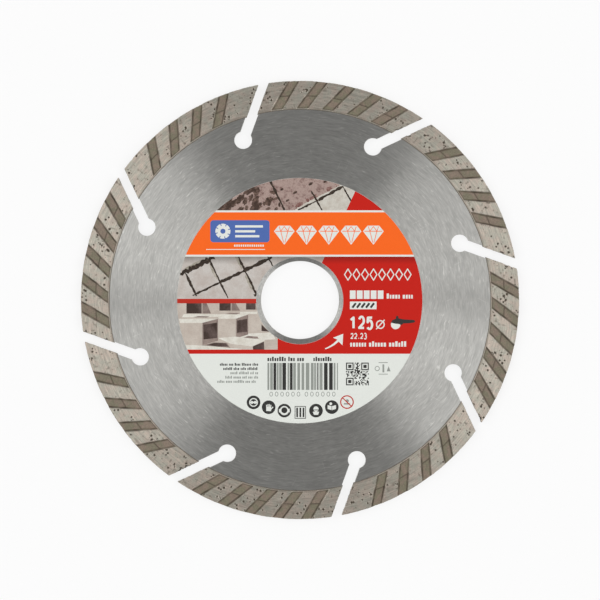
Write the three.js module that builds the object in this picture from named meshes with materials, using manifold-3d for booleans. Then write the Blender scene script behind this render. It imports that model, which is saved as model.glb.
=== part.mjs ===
// Segmented turbo diamond blade, 125 mm across, for an angle grinder.
// Millimetres, +Z up. The blade lies flat with its spin axis along Z and its labelled face up.
// The origin is the centre of the bore at half the blade's thickness.
// It is one steel core, eight sintered segments that straddle the core's rim, and a printed label.

import * as THREE from "three";
import { mergeVertices } from "three/addons/utils/BufferGeometryUtils.js";
import Module from "manifold-3d";

const wasm = await Module();
wasm.setup();

const degrees = THREE.MathUtils.degToRad;

// Blade and core
const bladeRadius = 62.5;
const boreRadius = 22.23 / 2;
const coreThickness = 1.4;
const coreRimRadius = 57.7; // the steel ends here, inside the segments

// Segments
const segmentCount = 8;
const segmentPitch = (2 * Math.PI) / segmentCount;
const segmentThickness = 2.2;
const footRadius = 54.3; // the segment's inner slope starts here on the core
const shoulderRadius = 54.9; // and ends here at the ground side face
const rimChamfer = 0.12; // along the cutting edge
const fitGap = 0.02; // between a segment and the core inside it

// Slots: each is straight, and its line passes the axis at slotOffset
const slotOffset = 30.7;
const firstSlotDirection = degrees(-19.8);
const coreSlotWidth = 3.1;
const segmentGap = 2.6;
const reliefRadius = 2.5; // the round hole that each slot ends in
const reliefDistance = 48.4; // from the axis to the hole's centre

// Grooves: in both side faces, each on a line that passes the axis at grooveOffset
const grooveOffset = 32.8;
const groovePitch = degrees(7.5);
const grooveShift = degrees(-0.3); // from the segment's middle to the middle of its grooves
// A groove is shallow over the core's rim and has a deeper channel in its floor outside it.
const shallowGroove = { floorHeight: 0.78, floorWidth: 2.3, sideWidth: 3.0 };
const deepGroove = { floorHeight: 0.55, floorWidth: 1.9, sideWidth: 2.3 };
const deepStartRadius = 58.2;
const patternRadius = 58.6; // angles between grooves and slots are counted on this circle
const fewGrooves = 4;
const manyGrooves = 5;

// Label
const labelRadius = 35;
const labelHoleRadius = 12.4;
const labelThickness = 0.1;
const labelCentre = new THREE.Vector2(-0.08, -0.17);

// Fineness of the round outlines, and how far a cutting solid reaches past what it cuts
const arcSteps = 12; // an arc in an extruded outline gets twice this many chords
const ringSteps = 240;
const cutterMargin = 1.5;

// The angle, ahead of its own direction, at which a line passing the axis at `offset` meets a circle.
const lean = (offset, radius) => Math.asin(offset / radius);

const steel = new THREE.MeshStandardMaterial({ color: 0xadaba7, roughness: 0.35, metalness: 1 });
const sinter = new THREE.MeshStandardMaterial({ color: 0xaca396, roughness: 0.7, metalness: 0.6 });
const print = new THREE.MeshStandardMaterial({ color: 0xc4261d, roughness: 0.4, metalness: 0 });

function extrude(shape, depth) {
  return new THREE.ExtrudeGeometry(shape, { depth, bevelEnabled: false, curveSegments: arcSteps });
}

function toSolid(geometry) {
  const bare = geometry.clone();
  bare.deleteAttribute("normal");
  bare.deleteAttribute("uv");
  const merged = mergeVertices(bare);
  return new wasm.Manifold(
    new wasm.Mesh({
      numProp: 3,
      vertProperties: new Float32Array(merged.attributes.position.array),
      triVerts: new Uint32Array(merged.index.array),
    }),
  );
}

function toGeometry(solid) {
  const mesh = solid.getMesh();
  const indexed = new THREE.BufferGeometry();
  indexed.setAttribute("position", new THREE.BufferAttribute(mesh.vertProperties, 3));
  indexed.setIndex(new THREE.BufferAttribute(mesh.triVerts, 1));
  const faceted = indexed.toNonIndexed();
  faceted.computeVertexNormals();
  return faceted;
}

// A full circle in two halves, so that it gets twice the chords of a single arc.
function circle(path, centre, radius) {
  path.absarc(centre.x, centre.y, radius, 0, Math.PI, false);
  path.absarc(centre.x, centre.y, radius, Math.PI, 2 * Math.PI, false);
  return path;
}

// The steel disc, with its bore and eight keyhole slots open at the rim.
function coreGeometry() {
  const outline = new THREE.Shape();
  const halfWidth = coreSlotWidth / 2;
  const mouth = Math.asin(halfWidth / reliefRadius); // half the angle that the slot takes of its hole
  for (let k = 0; k < segmentCount; k += 1) {
    const slot = firstSlotDirection + k * segmentPitch;
    const nextSlot = slot + segmentPitch;
    const rimStart = slot + lean(slotOffset + halfWidth, coreRimRadius);
    const rimEnd = nextSlot + lean(slotOffset - halfWidth, coreRimRadius);
    outline.absarc(0, 0, coreRimRadius, rimStart, rimEnd, false);
    const holeAngle = nextSlot + lean(slotOffset, reliefDistance);
    const holeX = reliefDistance * Math.cos(holeAngle);
    const holeY = reliefDistance * Math.sin(holeAngle);
    outline.absarc(holeX, holeY, reliefRadius, nextSlot - mouth, nextSlot + mouth, true);
  }
  outline.closePath();
  outline.holes.push(circle(new THREE.Path(), new THREE.Vector2(0, 0), boreRadius));
  return extrude(outline, coreThickness).translate(0, 0, -coreThickness / 2);
}

// A closed outline of [radius, height] points, turned round the spin axis.
function turned(loop) {
  const points = [...loop, loop[0]].map(([radius, height]) => new THREE.Vector2(radius, height));
  return toSolid(new THREE.LatheGeometry(points, ringSteps).rotateX(Math.PI / 2));
}

// A ring of rectangular section, from the inner radius to the outer and as far below the middle as above.
function flatRing(innerRadius, outerRadius, halfHeight) {
  return turned([
    [innerRadius, halfHeight],
    [innerRadius, -halfHeight],
    [outerRadius, -halfHeight],
    [outerRadius, halfHeight],
  ]);
}

// The whole sintered ring in one piece, with a slope down to the core on the inside of both side faces.
function ringSolid() {
  const side = segmentThickness / 2;
  const upperHalf = [
    [bladeRadius, side - rimChamfer],
    [bladeRadius - rimChamfer, side],
    [shoulderRadius, side],
    [footRadius, coreThickness / 2 + fitGap],
  ];
  const lowerHalf = upperHalf.map(([radius, height]) => [radius, -height]).reverse();
  return turned([...upperHalf, ...lowerHalf]);
}

// The sector between two slots of width `gap`. Its middle, on the pattern circle, is on the X axis.
function sectorSolid(gap) {
  const insideRadius = footRadius - cutterMargin;
  const outsideRadius = bladeRadius + cutterMargin;
  const startSlot = -segmentPitch / 2 - lean(slotOffset, patternRadius);
  const endSlot = segmentPitch / 2 - lean(slotOffset, patternRadius);
  const startAngle = (radius) => startSlot + lean(slotOffset + gap / 2, radius);
  const endAngle = (radius) => endSlot + lean(slotOffset - gap / 2, radius);
  const corner = (radius, angle) => new THREE.Vector2(radius, 0).rotateAround(new THREE.Vector2(), angle);
  const outline = new THREE.Shape();
  outline.absarc(0, 0, outsideRadius, startAngle(outsideRadius), endAngle(outsideRadius), false);
  const innerEnd = corner(insideRadius, endAngle(insideRadius));
  const innerStart = corner(insideRadius, startAngle(insideRadius));
  outline.lineTo(innerEnd.x, innerEnd.y);
  outline.lineTo(innerStart.x, innerStart.y);
  outline.closePath();
  const height = segmentThickness + 2 * cutterMargin;
  return toSolid(extrude(outline, height).translate(0, 0, -height / 2));
}

// One segment without its grooves. The pocket in it, open towards the axis, holds the core's rim.
function blankSolid() {
  const pocketRing = flatRing(
    footRadius - cutterMargin,
    coreRimRadius + fitGap,
    coreThickness / 2 + fitGap,
  );
  const pocket = sectorSolid(coreSlotWidth - 2 * fitGap).intersect(pocketRing);
  return sectorSolid(segmentGap).intersect(ringSolid()).subtract(pocket);
}

// A bar along one groove, centred at `angle` on the pattern circle, with drafted flanks.
// `sideWidth` is its width at the segment's side face, and `face` is 1 above and -1 below.
function grooveBar(angle, face, { floorHeight, floorWidth, sideWidth }) {
  const side = segmentThickness / 2;
  const top = side + cutterMargin;
  const topWidth = sideWidth + ((sideWidth - floorWidth) / (side - floorHeight)) * cutterMargin;
  const section = new THREE.Shape([
    new THREE.Vector2(-floorWidth / 2, face * floorHeight),
    new THREE.Vector2(floorWidth / 2, face * floorHeight),
    new THREE.Vector2(topWidth / 2, face * top),
    new THREE.Vector2(-topWidth / 2, face * top),
  ]);
  const alongLine = (radius) => Math.sqrt(radius ** 2 - grooveOffset ** 2);
  const start = alongLine(footRadius - cutterMargin);
  const length = alongLine(bladeRadius + cutterMargin) - start;
  const direction = angle - lean(grooveOffset, patternRadius);
  const along = new THREE.Vector3(Math.cos(direction), Math.sin(direction), 0);
  const across = new THREE.Vector3(-along.y, along.x, 0);
  const up = new THREE.Vector3(0, 0, 1);
  const bar = extrude(section, length).translate(grooveOffset, 0, start);
  return toSolid(bar.applyMatrix4(new THREE.Matrix4().makeBasis(across, up, along)));
}

// One segment, with evenly spaced grooves in each side face.
function segmentGeometry(blank, deepZone, grooves) {
  let solid = blank;
  for (const { face, count } of grooves) {
    for (let i = 0; i < count; i += 1) {
      const angle = grooveShift + (i - (count - 1) / 2) * groovePitch;
      solid = solid.subtract(grooveBar(angle, face, shallowGroove));
      solid = solid.subtract(grooveBar(angle, face, deepGroove).intersect(deepZone));
    }
  }
  return toGeometry(solid);
}

// The printed label, stuck on the upper face round the bore.
function labelGeometry() {
  const outline = circle(new THREE.Shape(), labelCentre, labelRadius);
  outline.holes.push(circle(new THREE.Path(), labelCentre, labelHoleRadius));
  return extrude(outline, labelThickness).translate(0, 0, coreThickness / 2);
}

const blade = new THREE.Group();

function addPart(name, geometry, material) {
  const part = new THREE.Mesh(geometry, material);
  part.name = name;
  blade.add(part);
  return part;
}

addPart("core", coreGeometry(), steel);

const blank = blankSolid();
const deepZone = flatRing(deepStartRadius, bladeRadius + 2 * cutterMargin, segmentThickness);
const fewAbove = segmentGeometry(blank, deepZone, [
  { face: 1, count: fewGrooves },
  { face: -1, count: manyGrooves },
]);
const manyAbove = segmentGeometry(blank, deepZone, [
  { face: 1, count: manyGrooves },
  { face: -1, count: fewGrooves },
]);
const firstMiddle = firstSlotDirection + lean(slotOffset, patternRadius) + segmentPitch / 2;
for (let k = 0; k < segmentCount; k += 1) {
  const segment = addPart(`segment_${k + 1}`, k % 2 === 0 ? fewAbove : manyAbove, sinter);
  segment.rotation.z = firstMiddle + k * segmentPitch;
}

addPart("label", labelGeometry(), print);

export default blade;
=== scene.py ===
"""A segmented turbo diamond blade, lying with its label up on a pale studio floor.

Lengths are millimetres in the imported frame, whose origin is the bore's centre at half the blade's
thickness, with +Z out of the labelled face. MM turns them into metres where a mesh is made.
The bore, slots, segments, grooves and label hole repeat the CAD model's dimensions. The blade's other
sizes come from the frame.
"""

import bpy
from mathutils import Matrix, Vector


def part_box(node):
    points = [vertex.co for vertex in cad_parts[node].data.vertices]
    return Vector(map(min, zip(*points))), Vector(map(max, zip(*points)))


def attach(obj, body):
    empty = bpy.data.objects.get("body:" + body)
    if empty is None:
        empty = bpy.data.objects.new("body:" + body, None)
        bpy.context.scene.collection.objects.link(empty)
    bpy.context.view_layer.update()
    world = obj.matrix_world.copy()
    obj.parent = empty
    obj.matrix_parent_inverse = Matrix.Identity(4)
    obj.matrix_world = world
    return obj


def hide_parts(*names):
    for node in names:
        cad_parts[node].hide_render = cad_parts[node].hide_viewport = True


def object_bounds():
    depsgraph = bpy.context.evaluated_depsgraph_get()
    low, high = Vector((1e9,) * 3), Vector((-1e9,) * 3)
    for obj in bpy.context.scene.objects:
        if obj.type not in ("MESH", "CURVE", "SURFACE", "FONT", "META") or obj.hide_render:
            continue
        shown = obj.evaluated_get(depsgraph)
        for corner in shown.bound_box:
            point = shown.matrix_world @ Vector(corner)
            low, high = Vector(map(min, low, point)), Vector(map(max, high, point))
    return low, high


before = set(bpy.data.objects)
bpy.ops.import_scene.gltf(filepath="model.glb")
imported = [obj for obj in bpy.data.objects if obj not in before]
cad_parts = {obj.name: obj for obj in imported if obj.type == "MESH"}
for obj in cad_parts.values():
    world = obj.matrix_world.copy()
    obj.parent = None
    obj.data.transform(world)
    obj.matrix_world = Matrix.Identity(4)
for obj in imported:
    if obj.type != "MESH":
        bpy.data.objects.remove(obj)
cad_bounds = [list(corner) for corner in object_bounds()]

import math

import bpy
import numpy as np
from mathutils import Matrix, Vector
from mathutils.geometry import delaunay_2d_cdt

MM = 0.001
SEGMENTS = 8
PITCH = math.tau / SEGMENTS

# Sizes read from the frame
BLADE_RADIUS = cad_bounds[1][0] / MM
BLADE_HALF = cad_bounds[1][2] / MM
CORE_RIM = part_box("core")[1][0] / MM
CORE_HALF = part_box("core")[1][2] / MM
LABEL_LOW, LABEL_HIGH = [Vector(corner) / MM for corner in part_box("label")]
LABEL_CENTRE = (LABEL_LOW + LABEL_HIGH).xy / 2

# Sizes repeated from the CAD model
BORE_RADIUS = 22.23 / 2
SLOT_OFFSET = 30.7
FIRST_SLOT = math.radians(-19.8)
CORE_SLOT = 3.1
SEGMENT_GAP = 2.6
RELIEF_RADIUS = 2.5
RELIEF_DISTANCE = 48.4
FOOT_RADIUS = 54.3
SHOULDER_RADIUS = 54.9
RIM_CHAMFER = 0.12
FIT_GAP = 0.02
GROOVE_OFFSET = 32.8
GROOVE_PITCH = math.radians(7.5)
GROOVE_SHIFT = math.radians(-0.3)
GROOVE_WIDTH = 3.0
GROOVE_FLOOR_WIDTH = 2.3
SHALLOW_FLOOR = 0.78
DEEP_FLOOR = 0.55
DEEP_START = 58.2
GROOVE_START = 54.72  # the ground slope inside this hides the grooves' inner ends
PATTERN_RADIUS = 58.6
FEW_GROOVES = 4
MANY_GROOVES = 5
LABEL_HOLE = 12.4

# The visual meshes: their fineness, and the wear on the segments
EDGE_ROUND = 0.06  # radius along the core's cut edges
EDGE_STEPS = 3
FLAT_INSET = 0.1  # where the core's flat faces start, just inside the rounding
SEGMENT_CELL = 0.16  # spacing of the segments' surface grid
LEAST_STEP = 0.01  # between two of its columns
RIM_ROWS = 13  # of that grid across the cutting edge
FOOT_EDGE = 0.02  # height of the step from the core up to a segment's foot
SIDE_PITS, RIM_PITS = 75, 60  # in each side face and in the rim of a segment
PIT_RADII, PIT_DEPTHS = (0.16, 0.42), (0.06, 0.18)
PIT_REACH = 1.2  # from one pit of a cluster to the next, at most


def lean(offset, radius):
    """The angle, ahead of its own direction, at which a line passing the axis at offset meets a circle."""
    return np.arcsin(offset / radius)


def arc(centre, radius, start, end, steps):
    angles = np.linspace(start, end, steps + 1)
    return [(centre[0] + radius * math.cos(a), centre[1] + radius * math.sin(a)) for a in angles]


def between(start, end, steps):
    """The points that divide a straight line into equal steps, without its ends."""
    return [tuple(point) for point in np.linspace(start, end, steps + 1)[1:-1]]


def circle(centre, radius, steps):
    return arc(centre, radius, 0, math.tau, steps)[:-1]


# ---- Noise for shapes


def smooth_noise(u, v, pitch, seed):
    """Smooth seeded noise from -1 to 1 at points u, v, with one random value per pitch."""
    table = np.random.default_rng(seed).uniform(-1, 1, (256, 256))
    u, v = u / pitch, v / pitch
    iu, iv = np.floor(u).astype(int), np.floor(v).astype(int)
    fu, fv = u - iu, v - iv
    fu, fv = fu * fu * (3 - 2 * fu), fv * fv * (3 - 2 * fv)

    def across(row):
        return table[iu % 256, row % 256] * (1 - fu) + table[(iu + 1) % 256, row % 256] * fu

    return across(iv) * (1 - fv) + across(iv + 1) * fv


def ramp(value, low, high):
    """0 below low, 1 above high and smooth between them."""
    t = np.clip((value - low) / (high - low), 0, 1)
    return t * t * (3 - 2 * t)


def peak(value, middle, reach):
    """1 at the middle, falling evenly to 0 at reach on both sides."""
    return np.maximum(1 - np.abs(value - middle) / reach, 0)


# ---- Materials


def srgb(red, green, blue):
    """A display colour from 0 to 255 as the linear colour that shaders take."""
    parts = [c / 255 for c in (red, green, blue)]
    return [c / 12.92 if c <= 0.04045 else ((c + 0.055) / 1.055) ** 2.4 for c in parts] + [1.0]


STEEL_TONE = (188, 187, 183)
FACE_WARM, FACE_COOL = (194, 181, 168), (185, 181, 168)
FLOOR_WARM, FLOOR_COOL = (138, 123, 109), (127, 121, 102)
# The dark tone of the grit specks, of the stains and of the shade painted into grooves, pits, chips and the
# slope
GRIT_STAIN_AND_SHADE_TONE = (76, 67, 55)


class Shader:
    """One material's node tree, with short ways to add its usual nodes. Positions are in millimetres."""

    def __init__(self, name):
        self.material = bpy.data.materials.new(name)
        self.material.use_nodes = True
        self.nodes = self.material.node_tree.nodes
        self.links = self.material.node_tree.links
        self.surface = self.nodes["Principled BSDF"]
        coordinates = self.add("TexCoord").outputs["Object"]
        self.position = self.vector("SCALE", coordinates, scale=1 / MM)
        self.y = self.add("SeparateXYZ", Vector=self.position).outputs["Y"]
        flat = self.vector("MULTIPLY", self.position, (1, 1, 0))
        self.radius = self.vector("LENGTH", flat)
        self.outward = self.vector("NORMALIZE", flat)

    def put(self, socket, value):
        if isinstance(value, bpy.types.NodeSocket):
            self.links.new(value, socket)
        else:
            socket.default_value = value

    def add(self, kind, settings=None, **inputs):
        node = self.nodes.new("ShaderNode" + kind)
        for key, value in (settings or {}).items():
            setattr(node, key, value)
        for key, value in inputs.items():
            self.put(node.inputs[key.replace("_", " ")], value)
        return node

    def operate(self, kind, operation, values):
        node = self.add(kind, {"operation": operation})
        for socket, value in zip(node.inputs, values):
            self.put(socket, value)
        return node

    def math(self, operation, *values):
        return self.operate("Math", operation, values).outputs[0]

    def vector(self, operation, *values, scale=None):
        node = self.operate("VectorMath", operation, values)
        if scale is not None:
            node.inputs["Scale"].default_value = scale
        return node.outputs["Value" if operation in ("LENGTH", "DOT_PRODUCT") else "Vector"]

    def noise(self, vector, scale, detail=2.0, roughness=0.5):
        """Noise from 0 to 1 with about `scale` features per unit of vector."""
        node = self.add("TexNoise", Vector=vector, Scale=scale, Detail=detail, Roughness=roughness)
        return node.outputs["Fac"]

    def cells(self, scale):
        """The distance to the nearest of the random points that lie about `scale` to a millimetre."""
        return self.add("TexVoronoi", Vector=self.position, Scale=scale).outputs["Distance"]

    def attribute(self, name):
        """A number that the mesh carries at its vertices."""
        return self.add("Attribute", {"attribute_name": name}).outputs["Fac"]

    def scratches(self, turn):
        """A few thin straight scratches, 1 inside them and 0 elsewhere, all near one direction."""
        across = self.vector("DOT_PRODUCT", self.position, (-math.sin(turn), math.cos(turn), 0))
        along = self.vector("DOT_PRODUCT", self.position, (math.cos(turn), math.sin(turn), 0))
        across, along = self.math("MULTIPLY", across, 2.2), self.math("MULTIPLY", along, 0.16)
        stretched = self.add("CombineXYZ", X=across, Y=along).outputs[0]
        fine = self.noise(stretched, 1.0, 2.0)
        return self.span(fine, 0.66, 0.76)

    def brushing(self, along, across, detail, sway=0.0):
        """Noise in marks that run round the axis: `along` features per radian and `across` per millimetre.
        The marks wander off their circles by `sway` millimetres."""
        ring = self.vector("SCALE", self.outward, scale=along)
        radius = self.math("MULTIPLY_ADD", self.noise(self.position, 0.11), sway, self.radius)
        depth = self.add("CombineXYZ", Z=self.math("MULTIPLY", radius, across)).outputs[0]
        return self.noise(self.vector("ADD", ring, depth), 1.0, detail)

    def span(self, value, low, high, start=0.0, end=1.0):
        """Maps low..high of value on to start..end, held at both ends."""
        limits = {"From_Min": low, "From_Max": high, "To_Min": start, "To_Max": end}
        return self.add("MapRange", Value=value, **limits).outputs["Result"]

    def vary(self, noise, start, end):
        """A factor that goes from start to end over most of the noise's range."""
        return self.span(noise, 0.3, 0.7, start, end)

    def mix(self, factor, first, second, blend="MIX"):
        node = self.add("Mix", {"data_type": "RGBA", "blend_type": blend, "clamp_factor": True})
        self.put(node.inputs["Factor"], factor)
        self.put(node.inputs[6], first)
        self.put(node.inputs[7], second)
        return node.outputs[2]

    def shade(self, colour, factor):
        """The colour times a number."""
        grey = self.add("CombineColor", Red=factor, Green=factor, Blue=factor).outputs[0]
        return self.mix(1.0, colour, grey, "MULTIPLY")

    def bump(self, height, depth, strength):
        """Bump from a height of 0 to 1 that stands for `depth` millimetres."""
        inputs = {"Height": height, "Strength": strength, "Distance": depth * MM}
        self.put(self.surface.inputs["Normal"], self.add("Bump", **inputs).outputs["Normal"])

    def finish(self, colour, roughness, **constants):
        self.put(self.surface.inputs["Base Color"], colour)
        self.put(self.surface.inputs["Roughness"], roughness)
        for key, value in constants.items():
            self.surface.inputs[key.replace("_", " ")].default_value = value
        return self.material

    def brush_round(self, amount):
        """Stretches highlights across the marks that run round the axis."""
        self.put(self.surface.inputs["Tangent"], self.vector("CROSS_PRODUCT", (0, 0, 1), self.outward))
        self.surface.inputs["Anisotropic"].default_value = amount
        self.surface.inputs["Anisotropic Rotation"].default_value = 0.25


def steel_material():
    """Ground steel: marks round the axis, faint blotches, short bright nicks and a few stray scratches."""
    s = Shader("ground_steel")
    fine = s.brushing(30, 7.0, 2.0, 0.6)
    marks = s.brushing(15, 2.8, 3.0, 1.8)
    broad = s.brushing(6, 0.9, 2.0, 3.0)
    blotch = s.noise(s.position, 0.10, 3.0)
    light = s.vary(fine, 0.93, 1.07)
    for layer, depth in ((marks, 0.13), (broad, 0.05), (blotch, 0.05)):
        light = s.math("MULTIPLY", light, s.vary(layer, 1 - depth, 1 + depth))
    nicks = s.span(s.brushing(24, 3.2, 0.0, 3.0), 0.72, 0.82)
    light = s.math("MULTIPLY_ADD", nicks, 0.3, light)
    for turn in (0.4, 1.1, 1.9, 2.7):
        light = s.math("MULTIPLY_ADD", s.scratches(turn), 0.16, light)
    colour = s.shade(srgb(*STEEL_TONE), light)
    s.brush_round(0.94)
    s.bump(s.math("MULTIPLY_ADD", marks, 0.7, fine), 0.004, 0.5)
    return s.finish(colour, s.vary(fine, 0.28, 0.34), Metallic=1.0)


def sinter_material():
    """Sintered metal. Its mesh says where it is a rough groove ("groove") and where it carries real stains
    and painted shade in grooves, pits, chips and on the slope by the foot (the second attribute).
    """
    s = Shader("sintered_metal")
    groove, stain_and_shade = s.attribute("groove"), s.attribute("stain_and_shade")
    marks = s.brushing(16, 3.6, 3.0)
    grain = s.noise(s.position, 3.0, 4.0, 0.6)
    patches = s.noise(s.position, 0.55, 3.0)
    face = s.mix(s.span(patches, 0.38, 0.62), srgb(*FACE_WARM), srgb(*FACE_COOL))
    face = s.shade(face, s.vary(marks, 0.76, 1.19))
    face = s.shade(face, s.vary(grain, 0.90, 1.10))
    grit = s.cells(1.5)
    gritty = s.span(s.noise(s.position, 0.8), 0.46, 0.54)
    speck = s.math("MULTIPLY", s.span(grit, 0.10, 0.17, 1.0, 0.0), gritty)
    face = s.mix(speck, face, srgb(*GRIT_STAIN_AND_SHADE_TONE))
    floor = s.mix(s.span(patches, 0.42, 0.58), srgb(*FLOOR_WARM), srgb(*FLOOR_COOL))
    floor = s.shade(floor, s.vary(grain, 0.80, 1.20))
    # Real stains and painted shade darken the colour here
    colour = s.mix(stain_and_shade, s.mix(groove, face, floor), srgb(*GRIT_STAIN_AND_SHADE_TONE))
    rough = s.math("MAXIMUM", groove, stain_and_shade)
    relief = s.math("MULTIPLY_ADD", marks, 0.3, grain)
    s.bump(relief, 0.02, 0.6)
    s.put(s.surface.inputs["Metallic"], s.span(rough, 0.0, 1.0, 0.66, 0.2))
    s.brush_round(0.84)
    return s.finish(colour, s.span(rough, 0.0, 1.0, 0.35, 0.8))


# ---- Pieces


def add_object(name, data):
    made = bpy.data.objects.new(name, data)
    bpy.context.scene.collection.objects.link(made)
    return made


def add_piece(name, node, points, faces, materials, material_index=None, sharp=35, data=None):
    """Makes a mesh piece, which stands for a CAD node, from points in millimetres.
    `data` holds numbers by vertex."""
    mesh = bpy.data.meshes.new(name)
    mesh.from_pydata((np.asarray(points, float) * MM).tolist(), [], faces)
    for material in materials:
        mesh.materials.append(material)
    if material_index is not None:
        mesh.polygons.foreach_set("material_index", material_index)
    for key, values in (data or {}).items():
        mesh.attributes.new(key, "FLOAT", "POINT").data.foreach_set("value", values.ravel())
    mesh.shade_smooth()
    mesh.set_sharp_from_angle(angle=math.radians(sharp))
    mesh.validate()
    piece = add_object(name, mesh)
    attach(piece, "root")
    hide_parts(node)


def tube_faces(first, count, layers):
    """The faces round a stack of closed loops, each of count points, that starts at the point first."""
    faces = []
    for low in range(first, first + count * (layers - 1), count):
        for i in range(count):
            j = (i + 1) % count
            faces.append((low + i, low + j, low + count + j, low + count + i))
    return faces


def core_outline(inset):
    """The core's outline, counter-clockwise, moved into the steel by inset."""
    rim = CORE_RIM - inset
    half = CORE_SLOT / 2 + inset
    hole = RELIEF_RADIUS + inset
    mouth = math.asin(half / hole)
    points = []
    for k in range(SEGMENTS):
        slot = FIRST_SLOT + k * PITCH
        following = slot + PITCH
        rim_start, rim_end = slot + lean(SLOT_OFFSET + half, rim), following + lean(SLOT_OFFSET - half, rim)
        rim_arc = arc((0, 0), rim, rim_start, rim_end, 36)
        at = following + lean(SLOT_OFFSET, RELIEF_DISTANCE)
        centre = (RELIEF_DISTANCE * math.cos(at), RELIEF_DISTANCE * math.sin(at))
        hole_arc = arc(centre, hole, following - mouth, following + mouth - math.tau, 30)
        next_rim = following + lean(SLOT_OFFSET + half, rim)
        next_start = (rim * math.cos(next_rim), rim * math.sin(next_rim))
        points += rim_arc + between(rim_arc[-1], hole_arc[0], 5)
        points += hole_arc + between(hole_arc[-1], next_start, 5)
    return points


def turning(shape):
    """Twice the area inside an outline, negative if it runs clockwise."""
    return sum(x0 * y1 - x1 * y0 for (x0, y0), (x1, y1) in zip(shape, shape[1:] + shape[:1]))


def partition(shapes, loose=()):
    """Splits overlapping outlines into triangles, keeping those in the first outline and not in the second.

    Returns the points, the number of the given point that each of them was, the triangles, and the last
    outline that covers each triangle."""
    points, outlines = [], []
    for shape in shapes:
        numbers = range(len(points), len(points) + len(shape))
        outlines.append(list(numbers if turning(shape) > 0 else reversed(numbers)))
        points += [Vector(point) for point in shape]
    points += [Vector(point) for point in loose]
    made, _, triangles, origins, _, covers = delaunay_2d_cdt(points, [], outlines, 1, 1e-5)
    kept = [(tuple(tri), max(over)) for tri, over in zip(triangles, covers) if 0 in over and 1 not in over]
    return made, [given[0] if given else None for given in origins], *zip(*kept)


def core_piece():
    """The steel disc: its rounded edges round the rim and the bore, and two flat faces inside them."""
    bend = [math.radians(90 * i / EDGE_STEPS) for i in range(EDGE_STEPS + 1)]
    upper = [(EDGE_ROUND * (1 - math.cos(a)), CORE_HALF - EDGE_ROUND * (1 - math.sin(a))) for a in bend]
    upper.append((FLAT_INSET, CORE_HALF))
    layers = [(inset, -z) for inset, z in reversed(upper)] + upper
    points, faces, loops = [], [], []
    for outline in (core_outline, bore_outline):
        first, count = len(points), len(outline(0))
        for inset, z in layers:
            points += [(x, y, z) for x, y in outline(inset)]
        faces += tube_faces(first, count, len(layers))
        loops.append((first, count))
    inside = inner_grid(core_outline(FLAT_INSET))
    _, origins, triangles, _ = partition([core_outline(FLAT_INSET), bore_outline(FLAT_INSET)], inside)
    triangles = [[origins[i] for i in triangle] for triangle in triangles]
    for layer, z in ((0, -CORE_HALF), (len(layers) - 1, CORE_HALF)):
        numbers = []
        for first, count in loops:
            numbers += range(first + layer * count, first + (layer + 1) * count)
        numbers += range(len(points), len(points) + len(inside))
        points += [(x, y, z) for x, y in inside]
        for triangle in triangles:
            corners = [numbers[i] for i in triangle]
            faces.append(corners if z > 0 else corners[::-1])
    add_piece("steel_core", "core", points, faces, [steel_material()])


def bore_outline(inset):
    """The bore's outline, clockwise, moved into the steel by inset."""
    return circle((0, 0), BORE_RADIUS + inset, 144)[::-1]


def inner_grid(outline):
    """Points on rings over the disc, clear of its outline, so that the flat faces have even triangles."""
    spacing = 2.4
    edge = np.array(outline)
    points = []
    for radius in np.arange(BORE_RADIUS + spacing, CORE_RIM - spacing / 2, spacing):
        count = int(math.tau * radius / spacing)
        for x, y in circle((0, 0), radius, count):
            if np.hypot(edge[:, 0] - x, edge[:, 1] - y).min() > spacing / 2:
                points.append((x, y))
    return points


def segment_rails(front_count, back_count):
    """The lines that cross one segment, from its clockwise end to the other, as rows of: direction, offset
    from the axis, depth in front and back grooves (0 on a side face, 1 on a floor) and the shade painted on
    the flanks of each."""
    gap = SEGMENT_GAP / 2
    slot = lean(SLOT_OFFSET, PATTERN_RADIUS)
    grooves = []
    for count, face in ((front_count, (1, 0)), (back_count, (0, 1))):
        grooves += [(GROOVE_SHIFT + (i - (count - 1) / 2) * GROOVE_PITCH, *face) for i in range(count)]
    # Half a groove, from the land to its floor: the distance from its middle, the depth and the shade painted
    # along the flank
    side, floor = GROOVE_WIDTH / 2, GROOVE_FLOOR_WIDTH / 2
    # The third number is shade painted along the flank's foot, fading out onto the floor
    profile = [(side + 0.07, 0, 0), (side, 0.1, 0.3), (floor, 1, 1)]
    profile += [(floor - 0.16, 1, 0.75), (floor - 0.34, 1, 0)]
    rails = [(-PITCH / 2 - slot, SLOT_OFFSET + gap, 0, 0, 0, 0)]
    for angle, front, back in sorted(grooves):
        direction = angle - lean(GROOVE_OFFSET, PATTERN_RADIUS)
        for sign, order in ((-1, profile), (1, profile[::-1])):
            for away, depth, painted_shade in order:
                by_face = (depth * front, depth * back, painted_shade * front, painted_shade * back)
                rails.append((direction, GROOVE_OFFSET + sign * away, *by_face))
    rails.append((PITCH / 2 - slot, SLOT_OFFSET - gap, 0, 0, 0, 0))
    return rails


def segment_columns(rails):
    """The rails with even steps between them. Returns the columns' lines, as the direction and offset of the
    rail before and of the next and the share of the way between them, then their depths and painted flank
    shade."""
    columns = []
    for first, second in zip(rails, rails[1:]):
        start, end = (rail[0] + lean(rail[1], BLADE_RADIUS) for rail in (first, second))
        steps = max(1, round((end - start) * BLADE_RADIUS / SEGMENT_CELL))
        columns += [(*first, *second, i / steps) for i in range(steps)]
    columns.append((*rails[-1], *rails[-1], 0))
    columns = np.array(columns).T[:, None, :]
    first, second, share = columns[:6], columns[6:12], columns[12]
    return (*first[:2], *second[:2], share), first[2:] + (second[2:] - first[2:]) * share


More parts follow.
